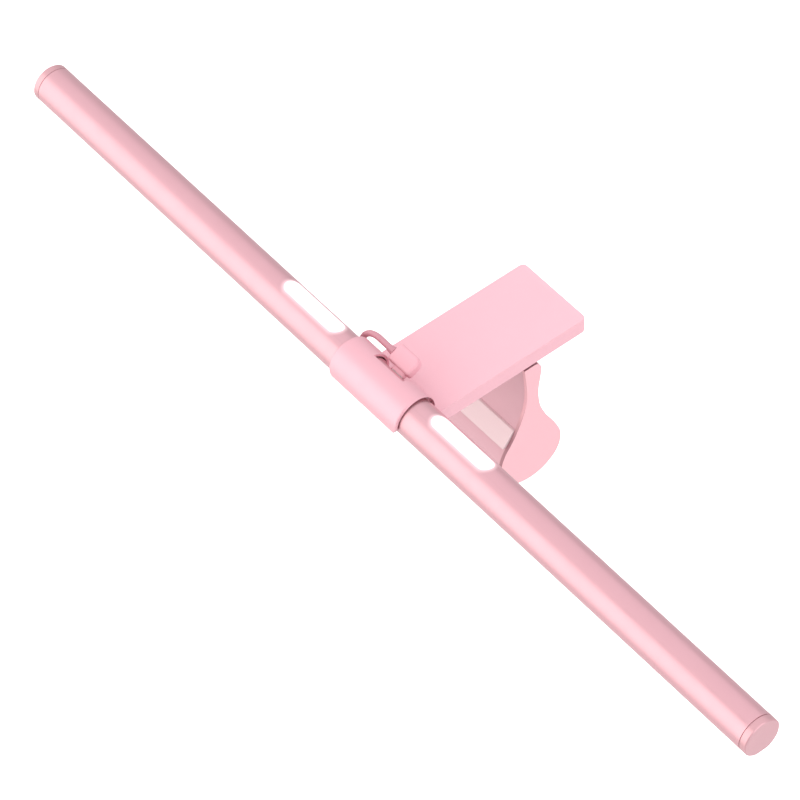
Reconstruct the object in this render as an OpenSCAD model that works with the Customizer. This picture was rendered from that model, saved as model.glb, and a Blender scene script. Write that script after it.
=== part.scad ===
// Monitor light bar: a slim light tube that tilts in the sleeve of a flat clamp plate.
// The plate rests on a monitor's top edge and a sprung, weighted arm hangs behind it.
// The origin is the middle of the pad that rests on the monitor. +X runs along the tube,
// +Y points behind the monitor and +Z is up. Sizes are in millimetres.

/* [Light tube] */
// Overall length of the tube with its end caps
tube_len = 500; // [460:5:560]
// Outside diameter of the tube
tube_d = 19.4; // [19.2:0.1:19.6]
// Distance that the tube's middle stands to the right of the clamp's middle
tube_shift = 1.8; // [0:0.2:3]
// Height of the tube's axis above the pad that rests on the monitor
tube_height = 17; // [16.6:0.1:17.4]
// Distance of the tube's axis in front of the pad's middle
tube_reach = 48; // [46:0.5:50]
// Distance from the tube's axis down to its flat light window
flat_drop = 8.7; // [8.6:0.05:8.8]
// Length of an end cap's visible disc
cap_len = 4; // [3:0.5:6]

/* [Back lights] */
// Length of each back light window
window_len = 38.6; // [30:0.2:44]
// Width of each back light window
window_w = 8.4; // [7:0.2:8.6]
// Distance from the tube's middle to a window's nearest end
window_start = 32.8; // [31:0.2:40]
// Direction that the windows face, up from the horizontal at the back
window_angle = 76; // [70:1:80]

/* [Clamp plate] */
// Width of the plate
plate_w = 44; // [42:0.5:47]
// Thickness of the plate
plate_t = 8.1; // [7.5:0.1:8.6]
// Distance from the pad's middle to the plate's back edge
plate_back = 52; // [48:1:70]
// Radius of the plate's upright back corners
plate_corner = 3; // [2:0.5:4]
// Length of the sleeve that the tube turns in
sleeve_w = 47.6; // [44:0.2:50]
// Thickness of the sleeve with its liner
sleeve_wall = 1.8; // [1.6:0.1:2]

/* [Arm] */
// Width of the hanging arm
arm_w = 43.4; // [42.4:0.2:44]
// Thickness of the arm's back and side walls
arm_wall = 1.8; // [1.6:0.1:2]
// Diameter of the hinge pin
pin_d = 3; // [2.8:0.1:3]

/* [Cable] */
// Diameter of the cable
cable_d = 3.1; // [3:0.1:3.2]
// Direction of the plug, up from the horizontal at the back
plug_angle = 25; // [20:1:30]
// Sideways place of the socket
plug_x = 1; // [0:0.2:2]

/* [Hidden] */
$fn = 96;

eps = 0.01;
shell_pink = "#fbcbd4";
pad_white = "#f0dadd";
light_white = "#ffffff";
cable_pink = "#e9bcc6";
steel = "silver";
board_green = "seagreen";
chip_yellow = "khaki";

// Light tube
tube_r = tube_d / 2;
tube_wall = 1.2;
bore_r = tube_r - tube_wall;
body_len = tube_len - 2 * cap_len;
cavity_floor = -7.05;   // inside floor beside the light slot, from the axis
slot_w = 7.4;           // light slot in the tube's flat
diffuser_w = 7.2;
flange_w = 9.4;         // diffuser's flange inside the tube
flange_t = 0.8;
board_len = body_len - 16;
board_w = 14;
board_t = 1.2;
board_z = -3.2;         // underside of the main light board, from the axis
rail_t = 0.9;
rail_in = 6.4;          // half the gap between the board's rails
led_pitch = 8;
led_size = [2.8, 3.5, 0.8];
cap_chamfer = 0.5;
seam_w = 0.35;          // shadow line between the tube and each end cap
seam_depth = 0.35;
spigot_len = 6;

// Back lights
window_mid = window_start + window_len / 2;
window_depth = 1.2;     // how far a window reaches into the tube's bore
back_board = [40, 7, 1];
back_board_r = 5.2;     // distance of a back light board from the axis
back_led_pitch = 6;
back_led_size = [2.8, 3, 0.6];

// Socket and plug, placed by distance from the tube's axis
seat_flat = 8.75;       // flat on the tube around the socket
bezel = [18, 8.2, 1.1];
socket_mouth = [9.4, 3.8];
socket_size = [8.94, 3.16, 6.2];
socket_wall = 0.3;
socket_top = seat_flat - bezel[2] - 0.1;
usb_board_size = [14, 1, 5];
usb_board_depth = 1.4;  // below the inside face of the socket's surround
shell_size = [8.25, 2.4, 6.4];
shell_wall = 0.35;
neck_size = [8.4, 3.2];
neck_start = seat_flat + 0.4;
body_start = 11;
body_depth = 9.4;
body_left = -7.6;
body_right = 6.8;
body_t = 5.2;
body_corner = 4;
small_corner = 1.4;
cable_out = 15.3;       // distance of the cable's exit from the tube's axis
relief_len = 4;
relief_d = 4.4;

// Control board, along the tube from its middle
control_start = 84;
control_size = [50, 12, 1];
wire_d = 0.9;
wire_pitch = 1.2;
wire_start = 9;

// Clamp plate
pad_proud = 0.6;        // the seat pad stands this far below the plate
plate_bottom = pad_proud;
plate_top = plate_bottom + plate_t;
plate_front = -tube_reach + 1;
skin = 1.8;
edge_round = 0.8;
hollow_front = -tube_reach + 12;
hollow_back = plate_back - skin;
hollow_w = plate_w - 2 * skin;
cover_t = 1.6;
cover_gap = 0.1;
cover_top = plate_bottom + cover_t;
sleeve_r = tube_r + sleeve_wall;
sleeve_bore = tube_r + 0.6;
ring_len = 6;
ring_inset = 3.8;
mouth_r = sleeve_bore + 0.05;
mouth_shift = 0.85;     // the right mouth's recess is this far off the tube's axis
mouth_angle = 40;       // direction of the recess, up from the horizontal at the back
cut_top = 0.5;          // the sleeve's right end slants back below this height
cut_slant = 0.63;
ring_bore = tube_r + 0.05;
slot_x = [-9.2, 10.8];  // opening in the sleeve for the plug
slot_front = 3.5;
slot_bottom = -6;
pad_l = 18;
pad_w = 38;
pad_t = 1.2;
lip_w = 28;
lip_t = 2.5;
lip_drop = 5;
lip_pad_t = 0.6;
lip_back = -pad_l / 2;
screw_r = 1;
screw_hole_r = 1.15;
head_r = 1.9;
head_t = 0.9;
boss_r = 2.4;
cover_screw_x = 17.4;
cover_screw_y = [hollow_front + 4, plate_back - 6];
bracket_screw_len = 5.4;

// Hinge
pin_r = pin_d / 2;
pin_y = 20.6;
pin_z = -5.5;
ear_in = 10.2;          // from the middle to an ear's inner face
ear_t = 3;
ear_r = 2.6;
ear_gap = 0.2;
ear_swing = 9;          // room behind the pin for the ears as the arm swings
plate_steel = 1.5;
hinge_l = 14;
hinge_w = 38;
hinge_screw_x = 16.4;
hinge_screw_dy = 4;
pin_head_r = 2.2;
pin_head_t = 0.8;
pin_head_inset = 0.2;
pin_end_gap = 0.8;
spring_r = 2.15;
spring_wire = 0.7;
spring_turns = 5;
spring_in = 4;          // from the middle to a spring's inner end
spring_leg = 9;
pocket_r = 2.8;
pocket_x = [3.2, 10.1];

// Arm
arm_top = -1.3;
block_bottom = -9.5;    // solid top of the arm, around the pin
panel_recess = 0.5;
panel_t = 1.3;
panel_gap = 0.1;
arm_pad_depth = 1.5;     // from the pad's face to the panel behind it
weight_w = 27;
weight_gap = 3;
weight_top = -46;
arm_screw_x = 17;
arm_screw_len = 7;
arm_pad_top = [9.8, -39.8];
arm_pad_bottom = [3.4, -47.9];
spline_steps = 12;
// Arm's back, from the top edge down and round to the front of its belly: [y, z]
arm_back_knots = [
    [20, arm_top], [22.6, -1.5], [24.6, -3.2], [25.4, -6.5], [24.6, -12], [23.5, -18.5],
    [23.5, -25], [24.6, -32], [28, -40.5], [32.5, -49], [35.6, -57], [35.6, -64],
    [32.6, -70.2], [27, -74.6], [20.5, -76.7], [13.5, -76.4], [7, -73.6], [2.6, -68.4]
];
// Arm's front edge, from the belly up to the top: [y, z]
arm_front_knots = [
    [2.6, -68.4], [0.6, -62], [1.2, -56], [3.4, -50.5], [7, -45.5], [10.6, -39.5],
    [13.6, -33], [15.8, -26], [16.7, -18.5], [16.3, -9], [15.5, arm_top]
];

// Cable, in the tube's own frame: [x, y, z] from the tube's axis
cable_route = [
    [-11.6, 13.9, 6.5], [-14, 13.9, 6.5], [-17.5, 13.9, 6.6], [-21, 13.8, 6.4], [-24.6, 13.2, 5.2],
    [-27.2, 12.2, 2.6], [-28.4, 11.6, -1], [-29, 11.2, -5], [-30.6, 10.8, -8.2],
    [-34, 10.4, -9.8], [-39, 10.3, -10], [-46, 10.3, -10]
];
tail_route = [
    [-116, 2, -14.2], [-124, 2.2, -14.4], [-131, 4, -16], [-136, 6, -17.2], [-140, 6.7, -17.6],
    [-144, 6.7, -17.6]
];
cable_sides = 8;
// The hank lies below and behind the tube; its depth axis dips by this angle
hank_tilt = -63;
hank_depth = 26;        // from the tube's axis to the hank's middle
hank_mid = -81;
hank_layers = 4;
hank_t = hank_layers * cable_d;
waist_half = 2 * cable_d;
loop_half = 4.5 * cable_d;
waist_len = 10;
run_half = 30;          // from the hank's middle to its end loops' centres
tie_w = 8;
tie_t = 1;
usb_a = [24, 12, 7];    // plug body
usb_a_shell = [12, 12, 4.5];
usb_a_x = -152;
usb_a_at = [6.7, -17.6];
usb_a_relief_len = 8;

function knot(p, i) = p[max(0, min(len(p) - 1, i))];
function curve(a, b, c, d, t) =
    0.5 * (2 * b + (c - a) * t + (2 * a - 5 * b + 4 * c - d) * t ^ 2
    + (3 * b - a - 3 * c + d) * t ^ 3);
// Points along a smooth open curve through the knots
function smooth(p, steps) = [
    for (i = [0 : len(p) - 2])
        for (k = [0 : steps - 1])
            curve(knot(p, i - 1), p[i], p[i + 1], knot(p, i + 2), k / steps),
    p[len(p) - 1]
];
function shift_all(p, move) = [for (q = p) q + move];
function reversed(p) = [for (i = [len(p) - 1 : -1 : 0]) p[i]];
function unit(v) = v / norm(v);
function tangent(p, i) = unit(knot(p, i + 1) - knot(p, i - 1));

arm_front = smooth(arm_front_knots, spline_steps);
arm_outline = concat(smooth(arm_back_knots, spline_steps), arm_front);

// Carries a [y, z] outline along X from x0 to x1
module side_extrude(x0, x1) {
    translate([x0, 0, 0])
        rotate([90, 0, 90])
            linear_extrude(x1 - x0)
                children();
}

module x_cylinder(r, x0, x1) {
    translate([x0, 0, 0])
        rotate([0, 90, 0])
            cylinder(r = r, h = x1 - x0);
}

// A box from low to high corner
module block(low, high) {
    translate(low)
        cube(high - low);
}

module both_sides() {
    children();
    mirror([1, 0, 0])
        children();
}

// The frame of the tube: its axis is the X axis
module on_axis() {
    translate([0, -tube_reach, tube_height])
        children();
}

// The frame of the tube, from the tube's own middle
module on_tube() {
    translate([tube_shift, 0, 0])
        on_axis()
            children();
}

// Inside the tube, +Z pointing out of it at the given angle
module facing(angle) {
    rotate([angle - 90, 0, 0])
        children();
}

// The frame of the plug: +Z points out of the socket, +Y up
module at_plug() {
    translate([plug_x, 0, 0])
        on_axis()
            facing(plug_angle)
                mirror([0, 1, 0])
                    children();
}

// A slab with half-round ends, from z0 to z1
module stadium(w, h, z0, z1) {
    translate([0, 0, z0])
        linear_extrude(z1 - z0) {
            square([w - h, h], center = true);
            for (side = [-1, 1])
                translate([side * (w - h) / 2, 0])
                    circle(d = h);
        }
}

// A tube of the given radius swept along a route that never runs along the axis `across`
module sweep(route, r, sides, across) {
    n = len(route);
    points = [
        for (i = [0 : n - 1])
            let (
                t = tangent(route, i),
                a = unit(cross(t, across)),
                b = cross(t, a)
            )
            for (k = [0 : sides - 1])
                route[i] + r * (cos(360 * k / sides) * a + sin(360 * k / sides) * b)
    ];
    walls = [
        for (i = [0 : n - 2])
            for (k = [0 : sides - 1])
                let (m = (k + 1) % sides)
                [i * sides + k, (i + 1) * sides + k, (i + 1) * sides + m, i * sides + m]
    ];
    first_end = [for (k = [0 : sides - 1]) k];
    last_end = [for (k = [sides - 1 : -1 : 0]) (n - 1) * sides + k];
    polyhedron(points, concat([first_end, last_end], walls));
}

// ---- Clamp plate ----

module plate_body() {
    intersection() {
        side_extrude(-plate_w / 2, plate_w / 2)
            union() {
                translate([plate_front, plate_bottom])
                    square([plate_back - edge_round - plate_front, plate_t]);
                translate([plate_front, plate_bottom])
                    square([plate_back - plate_front, plate_t - edge_round]);
                translate([plate_back - edge_round, plate_top - edge_round])
                    circle(edge_round);
            }
        union() {
            block([-plate_w / 2, plate_front, 0],
                [plate_w / 2, plate_back - plate_corner, plate_top]);
            block([plate_corner - plate_w / 2, plate_front, 0],
                [plate_w / 2 - plate_corner, plate_back, plate_top]);
            both_sides()
                translate([plate_w / 2 - plate_corner, plate_back - plate_corner, 0])
                    cylinder(r = plate_corner, h = plate_top);
        }
    }
}

module sleeve_ring() {
    half = sleeve_w / 2;
    round_r = sleeve_r - sleeve_bore;
    on_axis()
        rotate([0, 90, 0])
            rotate_extrude() {
                translate([sleeve_bore, round_r - half])
                    square([round_r, sleeve_w - 2 * round_r]);
                for (side = [-1, 1])
                    translate([sleeve_bore, side * (half - round_r)])
                        intersection() {
                            circle(round_r);
                            translate([0, -round_r])
                                square([round_r, 2 * round_r]);
                        }
            }
}

// Recess behind the tube in the sleeve's right mouth
module mouth_recess() {
    on_axis()
        translate([0, mouth_shift * cos(mouth_angle), mouth_shift * sin(mouth_angle)])
            x_cylinder(mouth_r, sleeve_w / 2 - ring_inset, sleeve_w);
}

// Slanted cut across the lower half of the sleeve's right end
module mouth_slant() {
    end = sleeve_w / 2;
    drop = sleeve_r + 1;
    on_axis()
        rotate([90, 0, 0])
            translate([0, 0, -sleeve_w / 2])
                linear_extrude(sleeve_w)
                    polygon([[end, cut_top], [end + 1, cut_top], [end + 1, -drop],
                        [end - cut_slant * (cut_top + drop), -drop]]);
}

module screw_bosses() {
    both_sides() {
        for (y = cover_screw_y)
            translate([cover_screw_x, y, cover_top])
                cylinder(r = boss_r, h = plate_top - skin - cover_top + eps);
        for (side = [-1, 1])
            translate([hinge_screw_x, pin_y + side * hinge_screw_dy, cover_top + plate_steel])
                cylinder(r = boss_r, h = plate_top - skin - cover_top - plate_steel + eps);
    }
}

module screw_pilots() {
    depth = plate_top - skin - cover_top - 0.7;
    both_sides() {
        for (y = cover_screw_y)
            translate([cover_screw_x, y, cover_top - eps])
                cylinder(r = screw_r, h = depth);
        for (side = [-1, 1])
            translate([hinge_screw_x, pin_y + side * hinge_screw_dy, cover_top - eps])
                cylinder(r = screw_r, h = depth);
    }
}

module bracket_shell() {
    rib_x = 8;
    rib_t = 1.2;
    color(shell_pink)
        difference() {
            union() {
                difference() {
                    plate_body();
                    block([-hollow_w / 2, hollow_front, 0], [hollow_w / 2, hollow_back, plate_top - skin]);
                }
                difference() {
                    sleeve_ring();
                    mouth_slant();
                }
                both_sides()
                    block([rib_x, hollow_front - eps, cover_top + plate_steel + 0.3],
                        [rib_x + rib_t, hollow_back + eps, plate_top - skin + eps]);
                screw_bosses();
            }
            on_axis()
                x_cylinder(sleeve_bore, -sleeve_w, sleeve_w);
            on_axis()
                block([slot_x[0], slot_front, slot_bottom], [slot_x[1], sleeve_r + 2, sleeve_r + 2]);
            mouth_recess();
            screw_pilots();
        }
}

module cover_screw_places() {
    for (y = cover_screw_y)
        both_sides()
            translate([cover_screw_x, y, plate_bottom])
                children();
}

module hinge_screw_places() {
    for (side = [-1, 1])
        both_sides()
            translate([hinge_screw_x, pin_y + side * hinge_screw_dy, plate_bottom])
                children();
}

module screw_cut() {
    translate([0, 0, -eps])
        cylinder(r = head_r + 0.15, h = head_t);
    cylinder(r = screw_hole_r, h = cover_t + plate_steel + 1);
}

module screw(len) {
    difference() {
        cylinder(r = head_r, h = head_t - 0.1);
        translate([0, 0, -eps])
            cylinder(r = 0.8, h = 0.5, $fn = 6);
    }
    cylinder(r = screw_r, h = len);
}

module bracket_base_cover() {
    color(shell_pink)
        difference() {
            union() {
                block([-hollow_w / 2 + cover_gap, hollow_front + cover_gap, plate_bottom],
                    [hollow_w / 2 - cover_gap, hollow_back - cover_gap, cover_top]);
                block([-lip_w / 2, lip_back - lip_pad_t - lip_t, plate_bottom - lip_drop],
                    [lip_w / 2, lip_back - lip_pad_t, plate_bottom + eps]);
            }
            block([-pad_w / 2, lip_back, 0], [pad_w / 2, -lip_back, pad_t]);
            both_sides()
                block([ear_in - ear_gap, pin_y - ear_r - ear_gap, 0],
                    [ear_in + ear_t + ear_gap, pin_y + ear_r + ear_gap, cover_top + 1]);
            cover_screw_places()
                screw_cut();
            hinge_screw_places()
                screw_cut();
        }
}

module bracket_screws() {
    color(steel)
        cover_screw_places()
            screw(bracket_screw_len);
}

module hinge_bracket_screws() {
    color(steel)
        hinge_screw_places()
            screw(bracket_screw_len);
}

module seat_pad() {
    color(pad_white)
        block([-pad_w / 2, lip_back, 0], [pad_w / 2, -lip_back, pad_t]);
}

module lip_pad() {
    color(pad_white)
        block([-lip_w / 2, lip_back - lip_pad_t, plate_bottom - lip_drop],
            [lip_w / 2, lip_back, 0]);
}

module friction_ring(x0) {
    color("rosybrown")
        on_axis()
            difference() {
                x_cylinder(sleeve_bore, x0, x0 + ring_len);
                x_cylinder(ring_bore, x0 - 1, x0 + ring_len + 1);
            }
}

module friction_ring_left() {
    friction_ring(ring_inset - sleeve_w / 2);
}

module friction_ring_right() {
    difference() {
        friction_ring(sleeve_w / 2 - ring_inset - ring_len);
        mouth_slant();
    }
}

// ---- Hinge ----

module hinge_bracket() {
    color(steel)
        difference() {
            union() {
                block([-hinge_w / 2, pin_y - hinge_l / 2, cover_top],
                    [hinge_w / 2, pin_y + hinge_l / 2, cover_top + plate_steel]);
                both_sides() {
                    block([ear_in, pin_y - ear_r, pin_z], [ear_in + ear_t, pin_y + ear_r, cover_top + eps]);
                    translate([0, pin_y, pin_z])
                        x_cylinder(ear_r, ear_in, ear_in + ear_t);
                }
            }
            translate([0, pin_y, pin_z])
                x_cylinder(pin_r + 0.05, -hinge_w, hinge_w);
            hinge_screw_places()
                cylinder(r = screw_hole_r, h = plate_top);
        }
}

module hinge_pin() {
    head_x = pin_head_inset - arm_w / 2;
    color(steel)
        translate([0, pin_y, pin_z]) {
            x_cylinder(pin_head_r, head_x, head_x + pin_head_t);
            x_cylinder(pin_r, head_x, arm_w / 2 - arm_wall - pin_end_gap);
        }
}

module torsion_spring() {
    steps = 14;
    coil_len = ear_in - 0.8 - spring_in;
    turns_end = steps * spring_turns;
    helix = [
        for (k = [0 : turns_end])
            let (a = 360 * k / steps)
            [spring_in + coil_len * k / turns_end, spring_r * sin(a), -spring_r * cos(a)]
    ];
    leg = [for (s = [1, 0.66, 0.33]) [spring_in, -spring_leg * s, -spring_r - 0.1 * s]];
    color(steel)
        translate([0, pin_y, pin_z])
            rotate([70, 0, 0])
                sweep(concat(leg, helix), spring_wire / 2, 6, [1, 0, 0]);
}

module torsion_spring_right() {
    torsion_spring();
}

module torsion_spring_left() {
    mirror([1, 0, 0])
        torsion_spring();
}

// ---- Arm ----

// The frame of the arm's pad: +Z points out of the arm, +X along the arm's width
module at_arm_pad() {
    mid = (arm_pad_top + arm_pad_bottom) / 2;
    run = arm_pad_top - arm_pad_bottom;
    translate([0, mid[0], mid[1]])
        rotate([atan2(run[1], run[0]), 0, 0])
            children();
}

// All of a [y, z] outline's plane that lies below the given height
module below(z) {
    translate([-tube_reach, z - 100])
        square([2 * tube_reach, 100]);
}

// The arm's front edge as a strip, from one depth behind it to another
module front_strip(from, to) {
    polygon(concat(shift_all(arm_front, [from, 0]), reversed(shift_all(arm_front, [to, 0]))));
}

module arm_screw_bosses() {
    intersection() {
        side_extrude(-arm_w / 2, arm_w / 2)
            polygon(arm_outline);
        at_arm_pad()
            both_sides()
                translate([arm_screw_x, 0, -arm_screw_len - 4])
                    cylinder(r = boss_r + 0.8, h = arm_screw_len + 3);
    }
}

module arm_back_shell() {
    half = arm_w / 2;
    inner = half - arm_wall;
    color(shell_pink)
        difference() {
            union() {
                difference() {
                    side_extrude(-half, half)
                        polygon(arm_outline);
                    side_extrude(-inner, inner)
                        intersection() {
                            offset(delta = -arm_wall)
                                polygon(arm_outline);
                            below(block_bottom);
                        }
                }
                arm_screw_bosses();
            }
            side_extrude(-inner, inner)
                front_strip(-3, panel_recess + panel_t + 0.05);
            both_sides()
                block([ear_in - ear_gap - 0.1, pin_y - ear_r - ear_gap, block_bottom],
                    [ear_in + ear_t + ear_gap + 0.1, pin_y + ear_swing, arm_top + 1]);
            translate([0, pin_y, pin_z]) {
                x_cylinder(pin_r, pin_head_inset - half, half - arm_wall - pin_end_gap);
                x_cylinder(pin_head_r, -half - 1, pin_head_inset - half + pin_head_t);
                both_sides() {
                    x_cylinder(pocket_r, pocket_x[0], pocket_x[1]);
                    block([pocket_x[0], -pocket_r, block_bottom - pin_z - 1], [pocket_x[1], pocket_r, 0]);
                }
            }
            at_arm_pad()
                both_sides()
                    translate([arm_screw_x, 0, -arm_screw_len - 1])
                        cylinder(r = screw_r, h = arm_screw_len + 2);
        }
}

module arm_front_panel() {
    inner = arm_w / 2 - arm_wall - panel_gap;
    color(shell_pink)
        difference() {
            side_extrude(-inner, inner)
                front_strip(panel_recess, panel_recess + panel_t);
            at_arm_pad()
                both_sides()
                    translate([arm_screw_x, 0, -4])
                        cylinder(r = screw_hole_r, h = 8);
        }
}

module arm_pad() {
    inner = arm_w / 2 - arm_wall - panel_gap;
    depth = [3, 0];
    color(pad_white)
        difference() {
            side_extrude(-inner, inner)
                difference() {
                    polygon([arm_pad_top, arm_pad_top + depth, arm_pad_bottom + depth, arm_pad_bottom]);
                    front_strip(panel_recess, panel_recess + 8);
                }
            at_arm_pad()
                both_sides()
                    translate([arm_screw_x, 0, -3])
                        cylinder(r = head_r + 0.1, h = 3 - arm_pad_depth + head_t);
        }
}

module counterweight() {
    color(steel)
        side_extrude(-weight_w / 2, weight_w / 2)
            intersection() {
                offset(delta = -weight_gap)
                    polygon(arm_outline);
                below(weight_top);
            }
}

module arm_screws() {
    color(steel)
        at_arm_pad()
            both_sides()
                translate([arm_screw_x, 0, head_t - arm_pad_depth - 0.1])
                    mirror([0, 0, 1])
                        screw(arm_screw_len);
}

// ---- Light tube ----

module tube_outline(r) {
    intersection() {
        circle(r);
        translate([-tube_d, -flat_drop])
            square([2 * tube_d, 2 * tube_d]);
    }
}

module tube_section() {
    difference() {
        tube_outline(tube_r);
        intersection() {
            circle(bore_r);
            translate([-tube_d, cavity_floor])
                square([2 * tube_d, 2 * tube_d]);
        }
        translate([-slot_w / 2, -tube_d])
            square([slot_w, tube_d]);
    }
    // rails that hold the main light board
    intersection() {
        circle(bore_r + 0.2);
        for (side = [-1, 1])
            for (z = [board_z - rail_t - 0.05, board_z + board_t + 0.05])
                translate([side == 1 ? rail_in : -rail_in - 4, z])
                    square([4, rail_t]);
    }
}

module tube_housing() {
    color(shell_pink)
        difference() {
            on_tube()
                side_extrude(-body_len / 2, body_len / 2)
                    tube_section();
            on_tube()
                facing(window_angle)
                    for (side = [-1, 1])
                        translate([side * window_mid, 0, 0])
                            stadium(window_len, window_w, bore_r - 3, tube_r + 1);
            at_plug()
                block([-bezel[0] / 2, -bezel[1] / 2, seat_flat - bezel[2]],
                    [bezel[0] / 2, bezel[1] / 2, tube_r + 1]);
            at_plug()
                block([-socket_mouth[0] / 2 - 1, -socket_mouth[1] / 2 - 0.2, 2],
                    [socket_mouth[0] / 2 + 1, socket_mouth[1] / 2 + 0.2, tube_r]);
        }
}

module bottom_diffuser() {
    half = body_len / 2 - 0.1;
    color(light_white)
        on_tube()
            side_extrude(-half, half) {
                translate([-diffuser_w / 2, -flat_drop])
                    square([diffuser_w, flat_drop + cavity_floor + eps]);
                translate([-flange_w / 2, cavity_floor])
                    square([flange_w, flange_t]);
            }
}

module led_board() {
    color(light_white)
        on_tube()
            block([-board_len / 2, -board_w / 2, board_z], [board_len / 2, board_w / 2, board_z + board_t]);
}

module led_chips() {
    count = floor((board_len - 10) / led_pitch);
    color(chip_yellow)
        on_tube()
            for (i = [0 : count - 1])
                translate([(i - (count - 1) / 2) * led_pitch, 0, board_z - led_size[2] / 2])
                    cube(led_size, center = true);
}

module cap_disc() {
    cylinder(r = tube_r - seam_depth, h = cap_len - cap_chamfer);
    translate([0, 0, seam_w])
        cylinder(r = tube_r, h = cap_len - cap_chamfer - seam_w);
    translate([0, 0, cap_len - cap_chamfer])
        cylinder(r1 = tube_r, r2 = tube_r - cap_chamfer, h = cap_chamfer);
}

module end_cap() {
    spigot_r = bore_r - 0.1;
    spigot_wall = 1.4;
    spigot_floor = board_z + board_t + rail_t + 0.3;
    color(shell_pink)
        translate([body_len / 2, 0, 0]) {
            difference() {
                rotate([0, 90, 0])
                    cap_disc();
                block([-1, -tube_d, -tube_d], [cap_len + 1, tube_d, -flat_drop]);
            }
            difference() {
                x_cylinder(spigot_r, -spigot_len, 0);
                x_cylinder(spigot_r - spigot_wall, -spigot_len - 1, 0);
                block([-spigot_len - 1, -tube_d, -tube_d], [0, tube_d, spigot_floor]);
            }
        }
}

module end_cap_right() {
    on_tube()
        end_cap();
}

module end_cap_left() {
    on_tube()
        mirror([1, 0, 0])
            end_cap();
}

module back_window(side) {
    color(light_white)
        on_tube()
            intersection() {
                facing(window_angle)
                    translate([side * window_mid, 0, 0])
                        stadium(window_len - 0.1, window_w - 0.1, bore_r - window_depth, tube_r + 1);
                x_cylinder(tube_r, -tube_len / 2, tube_len / 2);
            }
}

module back_window_left() {
    back_window(-1);
}

module back_window_right() {
    back_window(1);
}

module back_led_board(side) {
    color(board_green)
        on_tube()
            facing(window_angle)
                translate([side * window_mid, 0, back_board_r + back_board[2] / 2])
                    cube(back_board, center = true);
}

module back_led_board_left() {
    back_led_board(-1);
}

module back_led_board_right() {
    back_led_board(1);
}

module back_led_chips() {
    count = floor((window_len - 4) / back_led_pitch) + 1;
    color(chip_yellow)
        on_tube()
            facing(window_angle)
                for (side = [-1, 1])
                    for (i = [0 : count - 1])
                        translate([side * window_mid + (i - (count - 1) / 2) * back_led_pitch, 0,
                            back_board_r + back_board[2] + back_led_size[2] / 2])
                            cube(back_led_size, center = true);
}

module socket_bezel() {
    color(shell_pink)
        at_plug()
            difference() {
                block([0.05 - bezel[0] / 2, 0.05 - bezel[1] / 2, seat_flat - bezel[2]],
                    [bezel[0] / 2 - 0.05, bezel[1] / 2 - 0.05, seat_flat]);
                stadium(socket_mouth[0], socket_mouth[1], 0, tube_r);
            }
}

module usb_c_socket() {
    inside = [for (i = [0, 1]) socket_size[i] - 2 * socket_wall];
    bottom = socket_top - socket_size[2];
    color(steel)
        at_plug()
            difference() {
                stadium(socket_size[0], socket_size[1], bottom, socket_top);
                stadium(inside[0], inside[1], bottom + 2 * socket_wall, socket_top + 1);
            }
}

module usb_board() {
    color(board_green)
        at_plug()
            translate([-usb_board_size[0] / 2, -socket_size[1] / 2 - usb_board_size[1],
                socket_top - usb_board_depth - usb_board_size[2]])
                cube(usb_board_size);
}

// The frame of the control board: its near end, on the board's top
module on_control_board() {
    on_tube()
        translate([control_start, 0, control_size[2]])
            children();
}

module control_board() {
    color(board_green)
        on_control_board()
            translate([0, -control_size[1] / 2, -control_size[2]])
                cube(control_size);
}

module control_parts() {
    color("dimgray")
        on_control_board() {
            translate([8, 0, 0])
                cylinder(d = 6, h = 3);
            translate([16, -3, 0])
                cube([6, 6, 1]);
            for (x = [26, 30])
                for (y = [-4, 1])
                    translate([x, y, 0])
                        cube([1.6, 3, 1.2]);
        }
}

module radio_module() {
    color(board_green)
        on_control_board()
            translate([35, -5, 0])
                cube([13, 10, 1.8]);
}

module wire_harness() {
    color("firebrick")
        on_tube()
            for (i = [-1 : 1])
                translate([0, i * wire_pitch, control_size[2] - wire_d / 2])
                    x_cylinder(wire_d / 2, wire_start, control_start - 0.1);
}

// ---- Cable ----

module usb_c_plug_shell() {
    color(steel)
        at_plug()
            difference() {
                stadium(shell_size[0], shell_size[1], neck_start - shell_size[2], neck_start);
                stadium(shell_size[0] - 2 * shell_wall, shell_size[1] - 2 * shell_wall,
                    neck_start - shell_size[2] - 1, neck_start - 2.4);
            }
}

module plug_outline() {
    left = body_left - plug_x;
    right = body_right - plug_x;
    depth = body_start + body_depth;
    difference() {
        translate([left, body_start])
            square([right - left, body_depth]);
        translate([right - body_corner, depth - body_corner])
            square(body_corner + 1);
        translate([left - 1, depth - small_corner])
            square(small_corner + 1);
    }
    translate([right - body_corner, depth - body_corner])
        circle(body_corner);
    translate([left + small_corner, depth - small_corner])
        circle(small_corner);
}

module usb_c_plug_body() {
    color(cable_pink)
        at_plug() {
            rotate([90, 0, 0])
                translate([0, 0, -body_t / 2])
                    linear_extrude(body_t)
                        plug_outline();
            stadium(neck_size[0], neck_size[1], neck_start, body_start + 0.5);
        }
}

module usb_c_strain_relief() {
    color(cable_pink)
        at_plug()
            translate([body_left - plug_x, 0, cable_out])
                rotate([0, -90, 0])
                    cylinder(d1 = relief_d, d2 = cable_d + 0.3, h = relief_len);
}

module usb_cable() {
    color(cable_pink)
        on_axis()
            sweep(smooth(cable_route, 2), cable_d / 2, cable_sides, [0, 1, 0]);
}

module behind_tube() {
    on_axis()
        rotate([hank_tilt, 0, 0])
            translate([hank_mid, hank_depth, 0])
                children();
}

function hank_half(x) =
    let (
        span = run_half - waist_len / 2,
        s = max(0, min(1, (abs(x) - waist_len / 2) / span))
    )
    waist_half + (loop_half - waist_half) * (1 - cos(180 * s)) / 2;

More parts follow.
